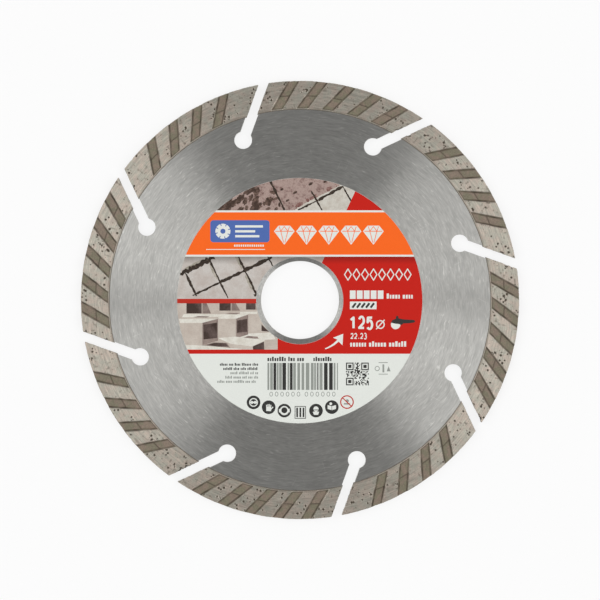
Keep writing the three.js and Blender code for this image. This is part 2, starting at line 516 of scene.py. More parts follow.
def angles_at(radius, lines):
    """The columns' angles at a radius. Near the foot the lines of front and back grooves would cross,
    so there they share the room, each column a hair ahead of the one before."""
    direction, offset, next_direction, next_offset, share = lines
    start = direction + lean(offset, radius)
    hair = LEAST_STEP * np.arange(share.size) / PATTERN_RADIUS
    angle = start + (next_direction + lean(next_offset, radius) - start) * share - hair
    forwards = np.maximum.accumulate(angle, axis=1)
    backwards = np.minimum.accumulate(angle[:, ::-1], axis=1)[:, ::-1]
    return (forwards + backwards) / 2 + hair


def pits(u, v, seed, count):
    """Depths of small round pits scattered in clusters over a patch, in the patch's own units."""
    dice = np.random.default_rng(seed)
    depth = np.zeros(np.broadcast(u, v).shape)
    cu, cv = u.min(), v.min()
    for _ in range(count):
        if dice.random() < 0.55:
            cu, cv = dice.uniform(u.min(), u.max()), dice.uniform(v.min(), v.max())
        else:
            cu, cv = cu + dice.uniform(-PIT_REACH, PIT_REACH), cv + dice.uniform(-PIT_REACH, PIT_REACH)
        distance = np.hypot(u - cu, v - cv) / dice.uniform(*PIT_RADII)
        depth = np.maximum(depth, dice.uniform(*PIT_DEPTHS) * (1 - ramp(distance, 0.4, 1.0)))
    return depth


def segment_side(radius, angle, depth, painted_shade, seed):
    """Height, groove mask, and stains and painted shade over one side face of a segment."""
    along = angle * PATTERN_RADIUS
    foot = CORE_HALF + FIT_GAP + FOOT_EDGE
    land = np.interp(radius, [FOOT_RADIUS, SHOULDER_RADIUS], [foot, BLADE_HALF])
    floor = np.where(radius < DEEP_START, SHALLOW_FLOOR, DEEP_FLOOR)
    floor = floor + 0.025 * smooth_noise(along, radius, 0.35, seed)
    floor = floor + 0.02 * smooth_noise(along, radius, 0.9, seed + 1)
    z = land + (np.minimum(floor, land) - land) * depth
    on_land = (1 - ramp(depth, 0.0, 0.1)) * ramp(radius, SHOULDER_RADIUS, SHOULDER_RADIUS + 0.3)
    pit = on_land * pits(along, radius, seed + 2, SIDE_PITS)

    # Painted shade on the grooves' flanks, at the step and the end of each floor, in pits and on the ground
    # slope, a dark line at the foot, and real stains on the lands
    past_slope = ramp(radius, GROOVE_START - 0.02, GROOVE_START + 0.02)
    # Painted shade along the grooves' flanks
    flank = painted_shade * (0.7 + 0.45 * smooth_noise(along, radius, 1.3, seed + 3))
    step, end = peak(radius, DEEP_START + 0.08, 0.24), peak(radius, GROOVE_START + 0.12, 0.2)
    in_groove = np.maximum(flank, np.maximum(0.75 * step, 0.8 * end) * depth) * past_slope
    stain = 0.5 * on_land * ramp(smooth_noise(along, radius, 0.75, seed + 4), 0.5, 0.95)
    # Painted shade on the ground slope inside the shoulder, then a dark line where the foot meets the core
    slope = 0.3 * (1 - ramp(radius, SHOULDER_RADIUS - 0.15, SHOULDER_RADIUS + 0.1))
    foot_line = peak(radius, FOOT_RADIUS, 0.35)
    # Real stains together with painted shade in the grooves, pits and slope
    stain_and_shade = np.maximum.reduce([in_groove, stain, ramp(pit, 0.0, 0.035), slope, foot_line])
    return z - pit, depth * past_slope, stain_and_shade


def segment_rim(angle, top, bottom, seed):
    """Radius, height, groove mask and shade painted into the pits over a segment's cutting edge, from its top
    down.
    """
    z = bottom + (top - bottom) * np.linspace(1, 0, RIM_ROWS)[:, None]
    along = angle * PATTERN_RADIUS
    pit = pits(along, z, seed, RIM_PITS)
    radius = BLADE_RADIUS - 0.06 * np.abs(smooth_noise(along, z, 0.5, seed + 1)) - pit
    # The last value is shade painted into the rim's pits
    return radius, z, 0.45 + 0.3 * smooth_noise(along, z, 0.8, seed + 2), ramp(pit, 0.0, 0.05)


def segment_pocket(lines):
    """Radius, angle and height over the pocket that holds the core's rim. It is closed at both ends,
    past the edges of the core's slots."""
    foot = np.full_like(lines[-1], FOOT_RADIUS)
    bottom = np.full_like(foot, CORE_RIM + FIT_GAP)
    foot_angle = angles_at(foot, lines)
    from_end = np.minimum(foot_angle - foot_angle[0, 0], foot_angle[0, -1] - foot_angle) * FOOT_RADIUS
    is_open = from_end > (CORE_SLOT - SEGMENT_GAP) / 2
    inner = np.where(is_open, bottom, foot)
    inner_angle = np.where(is_open, angles_at(bottom, lines), foot_angle)
    radius = np.concatenate([foot, inner, inner, foot])
    angle = np.concatenate([foot_angle, inner_angle, inner_angle, foot_angle])
    z = np.where(is_open, [[-1], [-1], [1], [1]], [[-1], [-1 / 3], [1 / 3], [1]])
    return radius, angle, z * (CORE_HALF + FIT_GAP)


def worn(along, radius, z, seed):
    """How far a segment's lines wander, with the chips out of its two ends, and the shade painted into the
    chips.
    """
    wander = 0.05 * smooth_noise(along, radius, 1.1, seed)
    wander = wander + 0.03 * smooth_noise(along, radius, 0.4, seed + 1)
    painted_shade = np.zeros_like(wander)
    for end, inwards, deepest in ((0, 1, 0.35), (-1, -1, 0.7)):
        near = 1 - ramp(np.abs(along - along[:, [end]]), 0.0, 1.3)
        chip = ramp(smooth_noise(z * 0.8, radius, 0.55, seed + 2 + end), 0.1, 0.8)
        chip = chip * (radius > SHOULDER_RADIUS)
        wander = wander + inwards * near * deepest * chip
        # Painted shade in the chips near each end
        painted_shade = np.maximum(painted_shade, ramp(near, 0.75, 0.95) * ramp(chip, 0.3, 0.7))
    return wander, painted_shade


def segment_piece(number, middle, front_count, back_count, sinter):
    """One sintered segment: a fine grid over its section, swept along it, with pits and worn edges.
    The grid's rows go from the upper foot over the rim to the lower foot, then round the pocket."""
    seed = 100 * number
    lines, by_face = segment_columns(segment_rails(front_count, back_count))
    front_depth, back_depth, front_flank_shade, back_flank_shade = by_face
    radius = np.concatenate([
        np.linspace(FOOT_RADIUS, SHOULDER_RADIUS, 7)[:-1],
        np.linspace(SHOULDER_RADIUS, DEEP_START - 0.06, 21),
        np.linspace(DEEP_START + 0.06, BLADE_RADIUS - RIM_CHAMFER, 27),
    ])[:, None] * np.ones_like(front_depth)
    angle = angles_at(radius, lines)
    upper_z, upper_groove, upper_stain_and_shade = segment_side(radius, angle, front_depth, front_flank_shade, seed)
    lower_z, lower_groove, lower_stain_and_shade = segment_side(radius, angle, back_depth, back_flank_shade, seed + 10)
    rim_angle = angles_at(np.full((RIM_ROWS, 1), BLADE_RADIUS), lines)
    top = upper_z[-1] - RIM_CHAMFER * (1 - front_depth[0])
    bottom = RIM_CHAMFER * (1 - back_depth[0]) - lower_z[-1]
    rim_radius, rim_z, rim_groove, rim_pit_shade = segment_rim(rim_angle, top, bottom, seed + 20)
    pocket_radius, pocket_angle, pocket_z = segment_pocket(lines)

    radius = np.concatenate([radius, rim_radius, radius[::-1], pocket_radius])
    angle = np.concatenate([angle, rim_angle, angle[::-1], pocket_angle])
    z = np.concatenate([upper_z, rim_z, -lower_z[::-1], pocket_z])
    clean = np.zeros_like(pocket_z)
    groove = np.concatenate([upper_groove, rim_groove, lower_groove[::-1], clean + 1])
    stain_and_shade = np.concatenate([upper_stain_and_shade, rim_pit_shade, lower_stain_and_shade[::-1], clean])
    wander, chip_shade = worn(angle * PATTERN_RADIUS, radius, z, seed + 30)
    angle = angle + wander / PATTERN_RADIUS + middle
    points = np.stack([radius * np.cos(angle), radius * np.sin(angle), z], axis=-1).reshape(-1, 3)

    here = np.arange(z.size).reshape(z.shape)
    below = np.roll(here, -1, axis=0)
    quads = np.stack([here[:, :-1], here[:, 1:], below[:, 1:], below[:, :-1]], axis=-1)
    faces = quads.reshape(-1, 4).tolist() + [here[:, 0].tolist(), here[::-1, -1].tolist()]
    # The second attribute carries real stains and the shade painted in grooves, pits, chips and on the slope
    name, data = f"segment_{number}", {"groove": groove, "stain_and_shade": np.maximum(stain_and_shade, chip_shade)}
    add_piece(f"sintered_{name}", name, points, faces, [sinter], sharp=24, data=data)


# ---- Label

BAND_HIGH, BAND_LOW = 25.4, 12.2
BAND_LINE = 0.55  # the light stripe along each edge of the band
SHADOW_REACH, SHADOW_DEPTH = 2.2, 0.5  # of the shadow printed below the band
STRIP_HIGH, STRIP_LOW = 0.18, -1.1  # the red strip between the two lower pictures
PICTURE_FOOT, FOOT_STRIP = -14.3, -15.5
FIELD_TOP_X, FIELD_SLANT = 15.9, 0.467  # the red field's edge: its x at the height below, and its lean
FIELD_TOP_Y = 30.75
FAR = 36.0  # past the label's edge
INKS = {
    "white": (226, 229, 223),
    "orange": (248, 103, 24),
    "red": (195, 24, 8),
    "strip": (184, 44, 28),
    "blue": (78, 106, 172),
    "black": (50, 50, 48),
    "grey": (146, 150, 144),
}
PRINT_ORIGIN = LABEL_CENTRE + Vector((-0.1, 0.33))  # where the lengths on the print are counted from
art = []  # the label's shapes in drawing order: an ink and an outline
chance = np.random.default_rng(7)  # for everything uneven or random on the label


def fill(ink, *points):
    art.append((ink, [(PRINT_ORIGIN.x + x, PRINT_ORIGIN.y + y) for x, y in points]))


def box(ink, left, bottom, right, top):
    fill(ink, (left, bottom), (right, bottom), (right, top), (left, top))


def disc(ink, x, y, radius, steps=28):
    fill(ink, *circle((x, y), radius, steps))


def sideways(start, end):
    """A unit vector to the left of the way from start to end, and the distance."""
    length = math.dist(start, end)
    return (start[1] - end[1]) / length, (end[0] - start[0]) / length, length


def stroke(ink, points, width, end_width=None):
    """A line of straight legs with round joints, tapering to end_width."""
    halves = np.linspace(width, width if end_width is None else end_width, len(points)) / 2
    for start, end, w0, w1 in zip(points, points[1:], halves, halves[1:]):
        nx, ny, _ = sideways(start, end)
        near = [(start[0] + nx * w, start[1] + ny * w) for w in (w0, -w0)]
        far = [(end[0] + nx * w, end[1] + ny * w) for w in (-w1, w1)]
        fill(ink, *near, *far)
    for (x, y), w in list(zip(points, halves))[1:-1]:
        disc(ink, x, y, w, 8)


def closed_stroke(ink, points, width):
    stroke(ink, points + points[:2], width)


def ragged(start, end, width, wander=0.05):
    """A joint or crack: a broken, uneven line whose thickness changes along it."""
    nx, ny, length = sideways(start, end)
    steps = max(3, round(length / 0.55))
    left, right = [], []
    thick = 0.6
    for i in range(steps + 1):
        f = i / steps
        x, y = start[0] + (end[0] - start[0]) * f, start[1] + (end[1] - start[1]) * f
        thick = 0.55 * thick + 0.45 * chance.choice([0.45, 0.7, 1.0, 1.7])
        middle = chance.uniform(-wander, wander)
        high = middle + width * thick * chance.uniform(0.35, 0.65)
        low = middle - width * thick * chance.uniform(0.35, 0.65)
        left.append((x + nx * high, y + ny * high))
        right.append((x + nx * low, y + ny * low))
    for i in range(steps):
        fill("joint", right[i], right[i + 1], left[i + 1], left[i])


def blotch(ink, x, y, wide, tall, turn):
    """An uneven stain."""
    points, steps = [], 22
    for i in range(steps):
        a = math.tau * i / steps
        reach = chance.uniform(0.72, 1.12)
        place = Vector((wide * reach * math.cos(a), tall * reach * math.sin(a)))
        place.rotate(Matrix.Rotation(turn, 2))
        points.append((x + place.x, y + place.y))
    fill(ink, *points)


def words(ink, left, bottom, right, height):
    """A line of small print, reduced to rows of plain upright ticks."""
    x = left
    while x < right - height:
        for _ in range(chance.integers(3, 9)):
            wide = height * chance.uniform(0.30, 0.46)
            if x + wide < right:
                box(ink, x, bottom, x + wide, bottom + height * chance.choice([0.74, 0.74, 1.0]))
            x += wide + 0.17 * height
        x += 0.4 * height


NUMERALS = {
    "1": [[(0.12, 0.76), (0.55, 0.98), (0.55, 0.0)]],
    "2": [arc((0.5, 0.69), 0.37, 2.8, -0.65, 9) + [(0.12, 0.03), (0.9, 0.03)]],
    "3": [arc((0.47, 0.74), 0.33, 2.5, -1.3, 9), arc((0.47, 0.27), 0.38, 1.3, -2.6, 10)],
    "5": [[(0.86, 0.97), (0.2, 0.97), (0.16, 0.55)] + arc((0.46, 0.32), 0.40, 1.8, -2.5, 11)],
    ".": [[(0.3, 0.0), (0.3, 0.14)]],
}


def number(text, left, bottom, height, weight):
    """Plain numerals drawn with strokes."""
    wide = 0.58 * height
    for mark in text:
        for line in NUMERALS[mark]:
            stroke("white", [(left + px * wide, bottom + py * height) for px, py in line], weight)
        left += (0.5 if mark == "." else 0.95) * wide + weight


def draw_stone_picture():
    """Stained concrete above the band, with a pale slab at its right and a crack between them."""
    box("stone", -FAR, BAND_HIGH, FAR, FAR)
    for _ in range(34):
        x = -23.0 + 17.5 * chance.random() ** 1.4
        y = chance.uniform(25.5, 30.5 - 0.1 * x if x > -15 else 29.0)
        size = chance.uniform(0.4, 1.5) * (0.45 + (-4.0 - x) / 19)
        blotch("stain", x, y, 1.5 * size, 0.8 * size, chance.uniform(0, 1.6))
    slab = [(-3.0, 25.0), (4.4, 28.9), (12.2, 32.9), (16.5, 34.0), (18.0, 25.0)]
    fill("slab", *slab)
    for k in range(40):
        f = chance.random()
        x, y = slab[0][0] + 14.5 * f, slab[0][1] + 7.7 * f
        ink = "stone" if k % 2 else "rust_stain"
        blotch(ink, x, y + 0.4, chance.uniform(0.5, 1.2), chance.uniform(0.3, 0.75), 0.48)
    for x, y in ((-5.0, 31.4), (-1.2, 30.5), (-7.2, 30.2), (3.2, 33.0), (-3.4, 28.2), (7.4, 33.6)):
        blotch("stain", x, y, chance.uniform(0.3, 0.8), chance.uniform(0.2, 0.45), 0.5)
    ragged((-0.4, 25.5), (5.4, 28.3), 0.55)
    ragged((5.4, 28.3), (12.3, 32.2), 0.8)
    ragged((12.3, 32.4), (15.4, 26.8), 0.5)
    ragged((3.4, 30.9), (6.5, 25.3), 0.45)
    ragged((-8.9, 35.0), (-4.2, 25.4), 0.55)


def draw_tile_picture():
    """Old paving below the band. Its uneven joints are a square grid turned on the page."""
    box("tile", -FAR, STRIP_HIGH, FAR, BAND_LOW)
    turn, pitch, origin = math.radians(25.7), 7.8, (-22.55, 4.9)

    def at(i, j):
        u, v = i * pitch, j * pitch
        x = origin[0] + u * math.cos(turn) - v * math.sin(turn)
        return x, origin[1] + u * math.sin(turn) + v * math.cos(turn)

    for i, j in ((-0.05, 0.45), (0.93, 0.4), (0.94, -0.45), (-1.0, 0.5)):
        blotch("tile_shade", *at(i, j), 0.45, 2.6, turn)
    for i, j, wide in ((-0.5, 1.0, 3.6), (0.3, 0.02, 2.0), (1.3, 0.02, 2.0)):
        blotch("tile_shade", *at(i, j), wide, 0.4, turn)
    ragged(at(-1.12, 0), at(0.0, 0), 0.5)
    ragged(at(0.0, 0), at(2.1, 0), 0.8)
    ragged(at(-1.2, 0.9), at(0.2, 0.92), 1.3, 0.25)
    ragged(at(0.9, -0.98), at(1.2, -0.98), 1.0)
    for i, low, high in ((-1.0, -0.08, 0.92), (0.0, -0.65, 0.95), (1.0, -1.0, 0.9), (1.98, -0.3, 0.2)):
        ragged(at(i, low), at(i, high), 0.55)


def hollow_block(left, corner, right, top, bottom, rise):
    """A hollow block: its face from left to corner, then its open end.
    The open end's far edge stands higher by rise."""
    fill("block_top", (left - 0.5, top + 1.2), (right, top + 1.2), (corner, top), (left - 0.1, top))
    box("block_face", left, bottom, corner, top)
    fill("block_shade", (corner, top), (right, top + 1.2), (right, bottom + rise + 0.7), (corner, bottom))
    near, far = corner + 0.35, right - 0.25
    upper, lower = (far, top + rise - 0.4), (far, bottom + rise + 1.5)
    fill("block_mouth", (near, top - 0.5), upper, lower, (near, bottom + 1.6))
    box("block_edge", corner - 0.08, bottom, corner + 0.12, top)


def draw_block_picture():
    """Stacked hollow blocks below the red strip."""
    box("block_face", -FAR, PICTURE_FOOT, -6.2, STRIP_LOW)
    for left, foot, wide in ((-32.2, -4.0, 4.3), (-22.8, -3.2, 3.2), (-15.2, -2.9, 2.7)):
        box("block_mouth", left, foot, left + wide, STRIP_LOW)
        box("block_edge", left + wide, foot, left + wide + 0.25, STRIP_LOW)
        reach = left + wide + 0.3
        fill("block_shade", (reach, foot), (reach + 2.4, foot), (reach + 1.2, STRIP_LOW), (reach, STRIP_LOW))
    box("block_top", -16.9, -4.15, -12.0, -3.5)
    fill("block_top", (-33.5, -5.1), (-14.6, -4.9), (-14.6, -4.2), (-33.0, -4.2))
    for left, right, y in ((-30.4, -25.7, -4.9), (-21.4, -17.1, -4.0)):
        near = (left, y - 0.2), (left + 1.6, y + 0.15)
        fill("block_shade", *near, (right, y + 0.05), (right - 0.8, y - 0.25))
    box("block_face", -14.5, -9.4, -10.8, -4.2)
    fill("block_mouth", (-10.8, -9.0), (-10.8, -7.1), (-9.8, -8.1), (-8.6, -9.2))
    fill("block_top", (-18.2, -9.9), (-7.6, -9.4), (-6.8, -11.4), (-13.8, -11.6), (-18.2, -11.2))
    fill("block_shade", (-16.9, -11.2), (-14.6, -10.4), (-11.9, -10.6), (-11.6, -11.2))
    hollow_block(-22.9, -18.1, -14.6, -5.5, -11.1, 0.4)
    fill("block_top", (-23.2, -11.0), (-18.2, -10.6), (-9.4, -11.6), (-13.5, -13.4), (-19.8, -12.6))
    fill("block_face", (-19.8, -12.6), (-13.5, -13.4), (-13.3, -14.3), (-19.6, -14.3))
    fill("block_mouth", (-13.2, -14.3), (-13.3, -13.4), (-10.1, -12.0), (-10.0, -14.3))
    box("block_face", -9.9, -14.3, -6.2, -11.6)
    hollow_block(-33.9, -27.7, -23.2, -6.7, -13.0, 0.5)
    fill("block_shade", (-27.8, -13.1), (-24.3, -12.2), (-20.7, -12.4), (-19.7, -13.8), (-24.0, -13.8))
    fill("block_mouth", (-26.4, -13.0), (-24.2, -12.4), (-21.0, -12.5), (-20.2, -13.4), (-23.0, -13.4))
    fill("block_top", (-34.0, -14.3), (-33.0, -12.9), (-26.6, -13.2), (-16.5, -14.1), (-16.5, -14.3))


def draw_fields():
    """The pictures on the left and the plain red field on the right of the slanted edge."""
    draw_stone_picture()
    draw_tile_picture()
    draw_block_picture()
    box("strip", -FAR, STRIP_LOW, -12.6, STRIP_HIGH)
    edge = [(FIELD_TOP_X - FIELD_SLANT * (FIELD_TOP_Y - y), y) for y in (PICTURE_FOOT, FAR)]
    fill("red", edge[0], (FAR, PICTURE_FOOT), (FAR, FAR), edge[1])
    box("red", -FAR, FOOT_STRIP, FAR, PICTURE_FOOT)
    box("white", -FAR, -FAR, FAR, FOOT_STRIP)


def cut_stone(x, y, half):
    """A brilliant-cut stone seen from the side, with its facets left as thin lines."""
    girdle, table, crown, point = 0.32 * half, 0.56 * half, 0.86 * half, -0.98 * half
    sides = [(x - half, y + girdle), (x, y + point), (x + half, y + girdle)]
    fill("white", *sides, (x + table, y + crown), (x - table, y + crown))
    stroke("orange", [(x - 0.86 * half, y + girdle), (x + 0.86 * half, y + girdle)], 0.2)
    for side in (-1, 1):
        facet = (x + side * 0.34 * half, y + girdle)
        stroke("orange", [(x + side * 0.06 * half, y - 0.78 * half), facet], 0.18)
        stroke("orange", [facet, (x + side * 0.50 * half, y + 0.78 * half)], 0.18)
        stroke("orange", [facet, (x, y + 0.78 * half)], 0.18)


def draw_band():
    """The orange band, with a plain blue plate and a row of cut stones."""
    box("white", -FAR, BAND_LOW, FAR, BAND_HIGH)
    box("orange", -FAR, BAND_LOW + BAND_LINE, FAR, BAND_HIGH - BAND_LINE)
    plate = []
    for k, corner in enumerate([(-9.4, 21.7), (-24.5, 21.7), (-24.5, 17.2), (-9.4, 17.2)]):
        plate += arc(corner, 0.9, k * math.pi / 2, (k + 1) * math.pi / 2, 5)
    fill("blue", *plate)
    hub = (-21.8, 19.45)
    disc("white", *hub, 2.15, 40)
    disc("blue", *hub, 0.72)
    for k in range(8):
        a = k * math.tau / 8 + 0.3
        notch = [(hub[0] + r * math.cos(a), hub[1] + r * math.sin(a)) for r in (1.55, 2.4)]
        stroke("blue", notch, 0.24)
    for y, end in ((20.5, -10.4), (19.1, -12.6), (17.7, -11.4)):
        box("white", -18.3, y, end, y + 0.65)
    for k in range(14):
        box("white", -18.6 + 0.62 * k, 15.05, -18.2 + 0.62 * k, 15.65)
    box("white", -26.6, 14.15, -9.8, 14.36)
    for k in range(5):
        cut_stone(-4.3 + 6.35 * k, 18.5, 2.95)


def draw_size_panel():
    """The red field: a row of lozenges, a rating bar, the size in numerals and a small grinder."""
    for k in range(8):
        x, y = 13.85 + 2.43 * k, 7.1
        corners = [(x, y + 1.6), (x - 0.98, y), (x, y - 1.6), (x + 0.98, y)]
        closed_stroke("white", corners, 0.3)
    for k in range(5):
        box("white", 14.4 + 1.98 * k, 0.15, 16.05 + 1.98 * k, 2.55)
    words("white", 24.9, 0.25, 32.8, 1.45)
    box("white", 14.4, -2.8, 22.0, -0.6)
    for k in range(5):
        stroke("black", [(15.1 + 1.3 * k, -2.35), (16.1 + 1.3 * k, -1.05)], 0.6)
    number("125", 14.45, -8.2, 3.1, 0.66)
    closed_stroke("white", circle((23.1, -7.15), 1.1, 20), 0.34)
    stroke("white", [(21.9, -8.5), (24.3, -5.8)], 0.3)
    draw_grinder(26.1, -6.6)
    number("22.23", 14.6, -11.15, 1.4, 0.27)
    words("white", 14.5, -13.45, 31.3, 1.5)
    stroke("white", arc((3.9, -4.6), 10.1, math.radians(-70), math.radians(-43), 8), 0.3, 0.7)
    fill("white", (12.5, -9.8), (9.6, -10.9), (10.9, -11.5), (11.1, -11.9), (12.3, -13.1))


def draw_grinder(x, y):
    """A small angle grinder from the side: its wheel, and a body that tapers to the right."""
    disc("white", x + 1.35, y - 0.55, 1.35)
    body = [(0, 0), (0.4, 0.7), (1.4, 1.1), (1.5, 1.9), (2.1, 1.9), (2.2, 1.2), (3.8, 0.9), (6.6, 0.75)]
    body += [(7.0, 0.4), (6.6, 0.0), (5.2, -0.2), (3.6, -0.25), (3.0, -0.7), (2.3, -0.4), (1.2, -0.3)]
    fill("black", *[(x + px, y + py) for px, py in body])


def draw_codes():
    """The pale foot of the label: ticks for small print, stripes and a square of modules."""
    words("black", -9.1, -17.6, 1.3, 1.25)
    words("black", 4.0, -17.6, 11.0, 1.25)
    for row in range(5):
        left = -11.7 - chance.uniform(7.5, 12.0)
        words("black" if row < 2 else "grey", left, -18.9 - 1.22 * row, -11.6, 0.78)
    x, end, module = -9.1, 11.0, 0.26
    while x < end:
        wide = min(module * chance.choice([1, 2, 3, 4]), end - x)
        box(chance.choice(["black", "grey", "grey"]), x, -25.8, x + wide, -18.1)
        x += wide + module * chance.choice([0.6, 1, 1.6])
    for k in range(12):
        x = -8.05 + 1.56 * k + (0.7 if k > 5 else 0.0)
        oval = [(x + 0.42 * px, -27.0 + 0.62 * py) for px, py in circle((0, 0), 1.0, 8)]
        closed_stroke("grey", oval, 0.17)
    draw_module_square(13.3, -24.5, 6.5)
    closed_stroke("grey", circle((22.2, -19.7), 0.62, 16), 0.2)
    box("grey", 23.7, -20.8, 24.2, -18.5)
    fill("grey", (24.9, -20.5), (26.0, -20.5), (25.45, -19.0))
    box("grey", 22.6, -18.1, 25.2, -17.9)
    box("grey", 22.6, -21.4, 25.2, -21.2)


def draw_module_square(left, bottom, size):
    """A square of random modules with a ringed square in three corners."""
    count = 21
    module = size / count
    dark = chance.random((count, count)) < 0.5
    for row in range(count):
        for column in range(count):
            if dark[row, column]:
                x, y = left + column * module, bottom + row * module
                box("black", x, y, x + module, y + module)
    for column, row in ((0, 0), (0, count - 7), (count - 7, count - 7)):
        x, y = left + column * module, bottom + row * module
        for ink, inset in (("white", -0.7), ("black", 0), ("white", 1), ("black", 2)):
            near, far = inset * module, (7 - inset) * module
            box(ink, x + near, y + near, x + far, y + far)


def draw_badges():
    """Dark round badges along the label's lower edge, each with a plain mark, then a red ring."""
    places = [(-13.07, -29.36), (-8.75, -30.74), (-4.29, -31.7), (4.74, -31.7), (9.25, -30.7)]
    for x, y in places:
        disc("black", x, y, 1.95, 40)
    barred, comb, cupped, hooded, winged = places
    x, y = barred
    disc("white", x, y, 1.25)
    disc("black", x, y, 0.95)
    box("white", x - 0.95, y - 0.2, x + 0.95, y + 0.2)
    for side in (-1, 1):
        disc("white", x + side * 0.45, y, 0.42)
    x, y = comb
    box("white", x - 0.7, y - 1.1, x + 0.7, y + 0.1)
    for k in range(4):
        stroke("white", [(x - 0.54 + 0.36 * k, y), (x - 0.62 + 0.42 * k, y + 1.0 - 0.2 * abs(k - 1.5))], 0.26)
    stroke("white", [(x + 0.6, y - 0.6), (x + 1.25, y + 0.1)], 0.3)
    x, y = cupped
    disc("white", x, y, 1.3)
    disc("black", x, y + 0.1, 0.85)
    for side in (-1, 1):
        box("white", x + side * 1.25 - 0.28, y - 0.5, x + side * 1.25 + 0.28, y + 0.5)
    x, y = hooded
    disc("white", x, y + 0.45, 0.75)
    fill("white", (x - 0.9, y - 0.3), (x + 0.9, y - 0.3), (x + 0.6, y - 1.2), (x - 0.6, y - 1.2))
    box("black", x - 1.0, y + 0.1, x + 1.0, y + 0.3)
    x, y = winged
    for side in (-1, 1):
        fill("white", (x, y - 0.9), (x + side * 1.2, y - 0.5), (x + side * 1.2, y + 0.6), (x, y + 0.25))
    box("black", x - 0.07, y - 0.9, x + 0.07, y + 0.3)
    disc("white", x - 0.3, y + 0.95, 0.4)
    x, y = 0.27, -32.2
    box("black", x - 1.6, y - 1.8, x + 1.6, y + 1.8)
    box("white", x - 1.4, y - 1.6, x + 1.4, y + 1.6)
    for k in range(3):
        box("black", x - 1.15 + 0.9 * k, y - 1.35, x - 0.65 + 0.9 * k, y + 1.35)
    x, y = 13.57, -29.26
    disc("strip", x, y, 1.95, 40)
    disc("white", x, y, 1.62, 40)
    stroke("grey", [(x - 0.9, y - 0.5), (x + 0.9, y - 0.5)], 0.4)
    disc("grey", x + 0.1, y + 0.35, 0.45)
    stroke("strip", [(x - 1.25, y + 1.2), (x + 1.25, y - 1.2)], 0.3)


def label_piece():
    """The printed film: its upper face is cut along every printed shape, so each ink is its own material."""
    box("red", -FAR, -FAR, FAR, FAR)
    draw_fields()
    draw_band()
    draw_size_panel()
    draw_codes()
    draw_badges()
    centre = tuple(LABEL_CENTRE)
    radius = (LABEL_HIGH.x - LABEL_LOW.x) / 2
    round_edge = 0.03
    border = [circle(centre, radius - round_edge, 240), circle(centre, LABEL_HOLE + round_edge, 144)[::-1]]
    made, _, triangles, covers = partition(border + [shape for _, shape in art])
    names = sorted({ink for ink, _ in art})
    index = [names.index(art[cover - 2][0]) for cover in covers]

    # The film's edge and back, from the boundary of the printed face
    edges = dict.fromkeys(edge for a, b, c in triangles for edge in ((a, b), (b, c), (c, a)))
    rim = [edge for edge in edges if edge[::-1] not in edges]
    flat = np.array([tuple(p) for p in made])
    away = flat - centre
    reach = np.hypot(away[:, 0], away[:, 1])[:, None]
    outwards = np.where(reach > (radius + LABEL_HOLE) / 2, 1.0, -1.0)
    on_rim = np.zeros(len(flat), bool)
    on_rim[[a for a, _ in rim]] = True
    spread = np.where(on_rim[:, None], flat + away / reach * outwards * round_edge, flat)
    n = len(flat)
    levels = [(flat, LABEL_HIGH.z), (spread, LABEL_HIGH.z - round_edge), (spread, LABEL_LOW.z)]
    points = [(*xy, z) for level, z in levels for xy in level]
    faces = list(triangles)
    for level in (0, n):
        faces += [(b + level, a + level, a + level + n, b + level + n) for a, b in rim]
    faces += [(c + 2 * n, b + 2 * n, a + 2 * n) for a, b, c in triangles]
    index += [names.index("white")] * (len(faces) - len(triangles))
    points, faces = without_loose(points, faces)
    materials = []
    for name in names:
        materials.append(ink_material(name) if name in INKS else picture_material(name, *PICTURES[name]))
    add_piece("printed_label", "label", points, faces, materials, index)


def without_loose(points, faces):
    """The same mesh without the points that no face uses."""
    used = sorted({i for face in faces for i in face})
    place = {old: new for new, old in enumerate(used)}
    return [points[i] for i in used], [tuple(place[i] for i in face) for face in faces]


def printed(s, colour, light):
    """Finishes a printed material: its colour, the light and dark in it, and the band's printed shadow."""
    edge = PRINT_ORIGIN.y + BAND_LOW
    below = s.math("LESS_THAN", s.y, edge)
    nearness = s.span(s.y, edge - SHADOW_REACH, edge, 0.0, SHADOW_DEPTH)
    shadow = s.math("SUBTRACT", 1.0, s.math("MULTIPLY", below, nearness))
    s.bump(s.noise(s.position, 1.2, 1.0), 0.004, 0.4)
    gloss = s.vary(s.noise(s.position, 2.5), 0.36, 0.44)
    return s.finish(s.shade(colour, s.math("MULTIPLY", light, shadow)), gloss, Specular_IOR_Level=0.25)


def ink_material(name):
    s = Shader(f"ink_{name}")
    return printed(s, srgb(*INKS[name]), s.vary(s.noise(s.position, 2.5), 0.98, 1.02))


def picture_material(name, light_tone, dark_tone, scale, low, high, mottling=0.06):
    """A printed photograph's surface: two tones of stone mixed by noise, over a finer mottle."""
    s = Shader(f"picture_{name}")
    patches = s.span(s.noise(s.position, scale, 5.0, 0.65), low, high)
    colour = s.mix(patches, srgb(*light_tone), srgb(*dark_tone))
    return printed(s, colour, s.vary(s.noise(s.position, 2.6, 3.0), 1 - mottling, 1 + mottling))


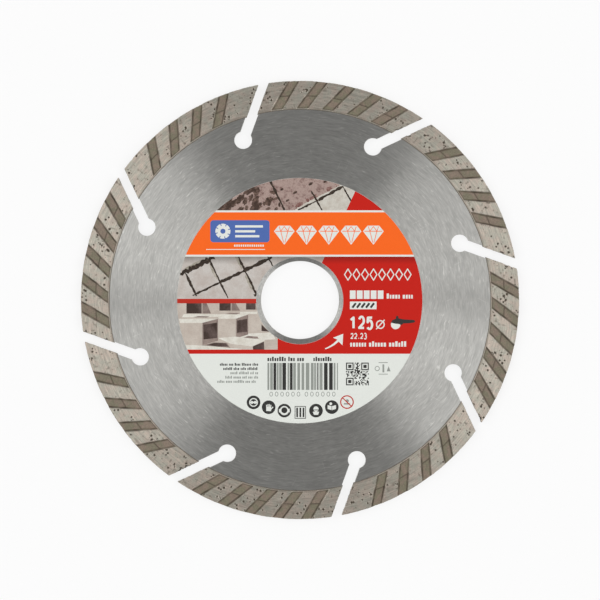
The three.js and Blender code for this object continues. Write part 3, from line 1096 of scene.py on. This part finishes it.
# Light tone, dark tone, features per millimetre, the noise levels between which they mix, and the mottle
PICTURES = {
    "tile": ((198, 192, 186), (184, 173, 165), 0.25, 0.4, 0.65),
    "tile_shade": ((182, 174, 162), (150, 144, 130), 0.5, 0.4, 0.65),
    "slab": ((204, 200, 190), (186, 178, 166), 0.5, 0.45, 0.7),
    "joint": ((52, 42, 34), (98, 84, 70), 1.6, 0.55, 0.7, 0.25),
    "stone": ((166, 144, 136), (112, 84, 78), 0.7, 0.5, 0.68, 0.14),
    "stain": ((66, 50, 42), (112, 90, 80), 0.9, 0.45, 0.62, 0.3),
    "rust_stain": ((120, 84, 78), (146, 116, 108), 0.9, 0.45, 0.62, 0.2),
    "block_face": ((199, 189, 178), (184, 171, 160), 0.25, 0.35, 0.65),
    "block_top": ((223, 220, 210), (206, 200, 188), 0.5, 0.4, 0.7),
    "block_edge": ((176, 164, 154), (160, 148, 138), 0.5, 0.4, 0.7),
    "block_shade": ((148, 132, 124), (120, 104, 98), 0.35, 0.4, 0.65, 0.1),
    "block_mouth": ((62, 48, 42), (98, 82, 78), 0.25, 0.42, 0.65, 0.12),
}


# ---- Floor, light and camera


# The studio, in metres: the floor's radius, the radius of its curve up into the wall, and the wall's top
FLOOR_REACH, COVE, WALL = 4.0, 0.6, 1.4
FLOOR_CLEARANCE = 0.02  # below the blade, in millimetres
FLOOR_TONE = (0.16, 0.16, 0.16, 1)
FLOOR_GLOW = 0.8
PANEL_DISTANCE = 1.2
PANEL_SPAN = math.radians(52)  # how far round each side the panels reach, as seen from the blade
PANEL_GAP = 0.12  # between the two panels of a side
PANEL_LOW, PANEL_HIGH = 0.7, 3.7
PANEL_BRIGHT, PANEL_DIM = 1.81, 1.52  # radiance
AMBIENT = 0.32
VIEW_WIDTH = 0.171  # across the picture, at the blade's upper face


def floor_piece():
    """A round white floor that curves up into a low wall."""
    level, around = -(BLADE_HALF + FLOOR_CLEARANCE) * MM, 96
    section = arc((FLOOR_REACH - COVE, level + COVE), COVE, -math.pi / 2, 0, 12)
    section.append((FLOOR_REACH, WALL))
    points = [(x, y, z) for radius, z in section for x, y in circle((0, 0), radius, around)]
    faces = [range(around)] + [face[::-1] for face in tube_faces(0, around, len(section))]
    mesh = bpy.data.meshes.new("floor")
    mesh.from_pydata(points, [], faces)
    mesh.shade_smooth()
    mesh.set_sharp_from_angle(angle=math.radians(2))
    s = Shader("floor")
    s.surface.inputs["Emission Color"].default_value = (1, 1, 1, 1)
    mesh.materials.append(s.finish(FLOOR_TONE, 0.9, Emission_Strength=FLOOR_GLOW))
    add_object("floor", mesh)


def add_panel(side, end, radiance):
    """One upright soft panel on the side x = side, over the half of its width towards y = end."""
    reach, height = PANEL_DISTANCE * math.tan(PANEL_SPAN), PANEL_HIGH - PANEL_LOW
    width = reach - PANEL_GAP / 2
    light = bpy.data.lights.new("panel", "AREA")
    light.shape = "RECTANGLE"
    light.size, light.size_y = width, height
    light.energy = radiance * math.pi * width * height
    panel = add_object("panel", light)
    panel.location = (side * PANEL_DISTANCE, end * (reach - width / 2), (PANEL_LOW + PANEL_HIGH) / 2)
    panel.rotation_euler = Vector((side, 0, 0)).to_track_quat("Z", "Y").to_euler()


def light_scene():
    """Soft panels to the left and right, each brighter towards one end, in an even dim surround."""
    for side in (-1, 1):
        for end in (-1, 1):
            add_panel(side, end, PANEL_BRIGHT if side != end else PANEL_DIM)
    world = bpy.data.worlds.new("studio")
    world.use_nodes = True
    background = world.node_tree.nodes["Background"].inputs
    background["Color"].default_value = (1.0, 1.0, 1.0, 1.0)
    background["Strength"].default_value = AMBIENT
    bpy.context.scene.world = world
    bpy.context.scene.view_settings.view_transform = "Standard"


def add_camera():
    """Straight above the blade, with a long lens."""
    camera = bpy.data.cameras.new("camera")
    camera.lens = 135
    camera.sensor_width = 36
    camera.clip_start = 0.01
    holder = add_object("camera", camera)
    holder.location = (0, 0, BLADE_HALF * MM + VIEW_WIDTH * camera.lens / camera.sensor_width)
    bpy.context.scene.camera = holder


add_camera()
light_scene()
floor_piece()
core_piece()
sinter = sinter_material()
first_middle = FIRST_SLOT + lean(SLOT_OFFSET, PATTERN_RADIUS) + PITCH / 2
for k in range(SEGMENTS):
    counts = (FEW_GROOVES, MANY_GROOVES) if k % 2 == 0 else (MANY_GROOVES, FEW_GROOVES)
    segment_piece(k + 1, first_middle + k * PITCH, *counts, sinter)
label_piece()
